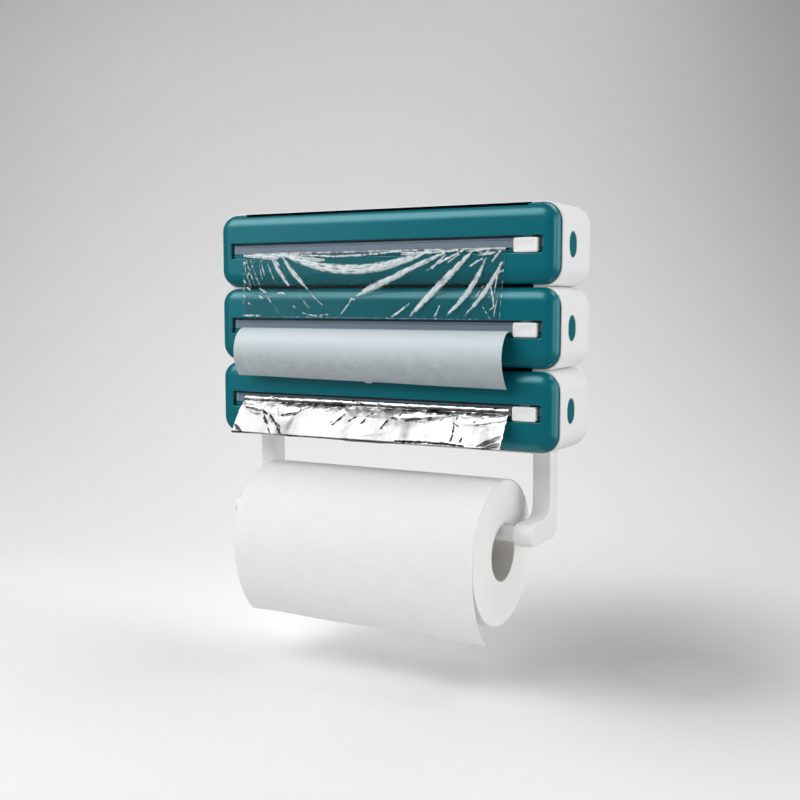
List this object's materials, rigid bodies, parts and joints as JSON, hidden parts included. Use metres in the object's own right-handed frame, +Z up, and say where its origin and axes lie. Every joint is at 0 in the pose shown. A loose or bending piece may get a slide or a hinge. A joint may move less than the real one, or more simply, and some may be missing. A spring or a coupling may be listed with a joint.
{
  "type": "kitchen roll dispenser",
  "caption": "Wall-mounted dispenser of stacked tiers for film, parchment and foil, with slide cutters, hinged covers, release buttons and arms that hold a kitchen paper roll.",
  "frame": {"origin": "on the wall plane, in the middle of the four wall screws, level with the middle tier's centre", "axes": "+X to the right seen from the front, +Y into the wall, +Z up"},
  "size_m": [0.387, 0.1609, 0.4144],
  "materials": {
    "white_plastic": "satin moulded white",
    "teal_plastic": "glossy moulded teal",
    "rail_grey": "satin grey extrusion",
    "pale_plastic": "satin pale grey",
    "blade_steel": "ground steel",
    "spring_steel": "bright zinc-plated steel",
    "core_card": "spiral-wound card",
    "cling_film": "clear stretch film",
    "parchment": "translucent silicone paper",
    "foil": "bright rolled foil",
    "kitchen_paper": "embossed soft tissue"
  },
  "bodies": {
    "root": {"top_shell": "white_plastic", "top_end_brackets": "white_plastic", "film_lead": "cling_film", "middle_shell": "white_plastic", "middle_end_brackets": "white_plastic", "paper_lead": "parchment", "bottom_shell": "white_plastic", "bottom_end_brackets": "white_plastic", "foil_lead": "foil", "hinge_pins": "spring_steel", "button_springs": "spring_steel", "latch_catches": "white_plastic", "stacking_screws": "spring_steel", "stacking_nuts": "spring_steel", "left_arm": "white_plastic", "right_arm": "white_plastic", "peg_springs": "spring_steel", "peg_collars": "white_plastic", "towel_tail": "kitchen_paper", "arm_screws": "spring_steel"},
    "top_cover": {"top_cover": "teal_plastic", "top_latch_tongues": "teal_plastic", "top_cutter_rail": "rail_grey", "top_rail_end_caps": "pale_plastic"},
    "top_slider": {"top_cutter_slider": "white_plastic", "top_cutter_blade": "blade_steel"},
    "film_roll": {"top_roll_core": "core_card", "top_roll_hubs": "pale_plastic", "film_roll": "cling_film"},
    "top_button_right": {"top_button_right": "teal_plastic"},
    "top_button_left": {"top_button_left": "teal_plastic"},
    "film_tail": {"film_tail": "cling_film"},
    "middle_cover": {"middle_cover": "teal_plastic", "middle_latch_tongues": "teal_plastic", "middle_cutter_rail": "rail_grey", "middle_rail_end_caps": "pale_plastic"},
    "middle_slider": {"middle_cutter_slider": "white_plastic", "middle_cutter_blade": "blade_steel"},
    "paper_roll": {"middle_roll_core": "core_card", "middle_roll_hubs": "pale_plastic", "paper_roll": "parchment"},
    "middle_button_right": {"middle_button_right": "teal_plastic"},
    "middle_button_left": {"middle_button_left": "teal_plastic"},
    "paper_tail": {"paper_tail": "parchment"},
    "bottom_cover": {"bottom_cover": "teal_plastic", "bottom_latch_tongues": "teal_plastic", "bottom_cutter_rail": "rail_grey", "bottom_rail_end_caps": "pale_plastic"},
    "bottom_slider": {"bottom_cutter_slider": "white_plastic", "bottom_cutter_blade": "blade_steel"},
    "foil_roll": {"bottom_roll_core": "core_card", "bottom_roll_hubs": "pale_plastic", "foil_roll": "foil"},
    "bottom_button_right": {"bottom_button_right": "teal_plastic"},
    "bottom_button_left": {"bottom_button_left": "teal_plastic"},
    "foil_tail": {"foil_tail": "foil"},
    "left_peg": {"left_peg": "white_plastic"},
    "right_peg": {"right_peg": "white_plastic"},
    "towel_roll": {"towel_core": "core_card", "towel_roll": "kitchen_paper"}
  },
  "joints": [
    {"name": "top_cover_hinge", "type": "hinge", "parent": "root", "child": "top_cover", "pos_m": [0, -0.0845, 0.0533], "axis": [1, 0, 0], "range_deg": [0, 80], "deforming": ["film_lead", "film_tail"]},
    {"name": "film_tail_swing", "type": "hinge", "parent": "top_cover", "child": "film_tail", "pos_m": [0, -0.0945, 0.0693], "axis": [1, 0, 0], "range_deg": [-80, 0]},
    {"name": "top_cutter_slide", "type": "slide", "parent": "top_cover", "child": "top_slider", "axis": [-1, 0, 0], "range_m": [0, 0.322]},
    {"name": "film_roll_turn", "type": "hinge", "parent": "root", "child": "film_roll", "pos_m": [0, -0.046, 0.0784], "axis": [1, 0, 0], "continuous": true},
    {"name": "top_button_right_press", "type": "slide", "parent": "root", "child": "top_button_right", "axis": [-1, 0, 0], "range_m": [0, 0.003], "stiffness_N_per_m": 500, "springref_m": -0.002, "deforming": ["button_springs"]},
    {"name": "top_button_left_press", "type": "slide", "parent": "root", "child": "top_button_left", "axis": [1, 0, 0], "range_m": [0, 0.003], "stiffness_N_per_m": 500, "springref_m": -0.002, "deforming": ["button_springs"]},
    {"name": "middle_cover_hinge", "type": "hinge", "parent": "root", "child": "middle_cover", "pos_m": [0, -0.0845, -0.0251], "axis": [1, 0, 0], "range_deg": [0, 80], "deforming": ["paper_lead", "paper_tail"]},
    {"name": "paper_tail_swing", "type": "hinge", "parent": "middle_cover", "child": "paper_tail", "pos_m": [0, -0.0945, -0.0091], "axis": [1, 0, 0], "range_deg": [-80, 0]},
    {"name": "middle_cutter_slide", "type": "slide", "parent": "middle_cover", "child": "middle_slider", "axis": [-1, 0, 0], "range_m": [0, 0.322]},
    {"name": "paper_roll_turn", "type": "hinge", "parent": "root", "child": "paper_roll", "pos_m": [0, -0.046, 0], "axis": [1, 0, 0], "continuous": true},
    {"name": "middle_button_right_press", "type": "slide", "parent": "root", "child": "middle_button_right", "axis": [-1, 0, 0], "range_m": [0, 0.003], "stiffness_N_per_m": 500, "springref_m": -0.002, "deforming": ["button_springs"]},
    {"name": "middle_button_left_press", "type": "slide", "parent": "root", "child": "middle_button_left", "axis": [1, 0, 0], "range_m": [0, 0.003], "stiffness_N_per_m": 500, "springref_m": -0.002, "deforming": ["button_springs"]},
    {"name": "bottom_cover_hinge", "type": "hinge", "parent": "root", "child": "bottom_cover", "pos_m": [0, -0.0845, -0.1035], "axis": [1, 0, 0], "range_deg": [0, 80], "deforming": ["foil_lead", "foil_tail"]},
    {"name": "foil_tail_swing", "type": "hinge", "parent": "bottom_cover", "child": "foil_tail", "pos_m": [0, -0.0945, -0.0875], "axis": [1, 0, 0], "range_deg": [-80, 0]},
    {"name": "bottom_cutter_slide", "type": "slide", "parent": "bottom_cover", "child": "bottom_slider", "axis": [-1, 0, 0], "range_m": [0, 0.322]},
    {"name": "foil_roll_turn", "type": "hinge", "parent": "root", "child": "foil_roll", "pos_m": [0, -0.046, -0.0784], "axis": [1, 0, 0], "continuous": true},
    {"name": "bottom_button_right_press", "type": "slide", "parent": "root", "child": "bottom_button_right", "axis": [-1, 0, 0], "range_m": [0, 0.003], "stiffness_N_per_m": 500, "springref_m": -0.002, "deforming": ["button_springs"]},
    {"name": "bottom_button_left_press", "type": "slide", "parent": "root", "child": "bottom_button_left", "axis": [1, 0, 0], "range_m": [0, 0.003], "stiffness_N_per_m": 500, "springref_m": -0.002, "deforming": ["button_springs"]},
    {"name": "towel_roll_turn", "type": "hinge", "parent": "root", "child": "towel_roll", "pos_m": [0, -0.08975, -0.2143], "axis": [1, 0, 0], "continuous": true},
    {"name": "right_peg_push", "type": "slide", "parent": "root", "child": "right_peg", "axis": [1, 0, 0], "range_m": [0, 0.0125], "stiffness_N_per_m": 250, "springref_m": -0.004, "deforming": ["peg_springs"]},
    {"name": "left_peg_push", "type": "slide", "parent": "root", "child": "left_peg", "axis": [-1, 0, 0], "range_m": [0, 0.0125], "stiffness_N_per_m": 250, "springref_m": -0.004, "deforming": ["peg_springs"]}
  ],
  "couplings": [
    {"joint": "film_tail_swing", "follows": "top_cover_hinge", "ratio": -1},
    {"joint": "paper_tail_swing", "follows": "middle_cover_hinge", "ratio": -1},
    {"joint": "foil_tail_swing", "follows": "bottom_cover_hinge", "ratio": -1}
  ]
}
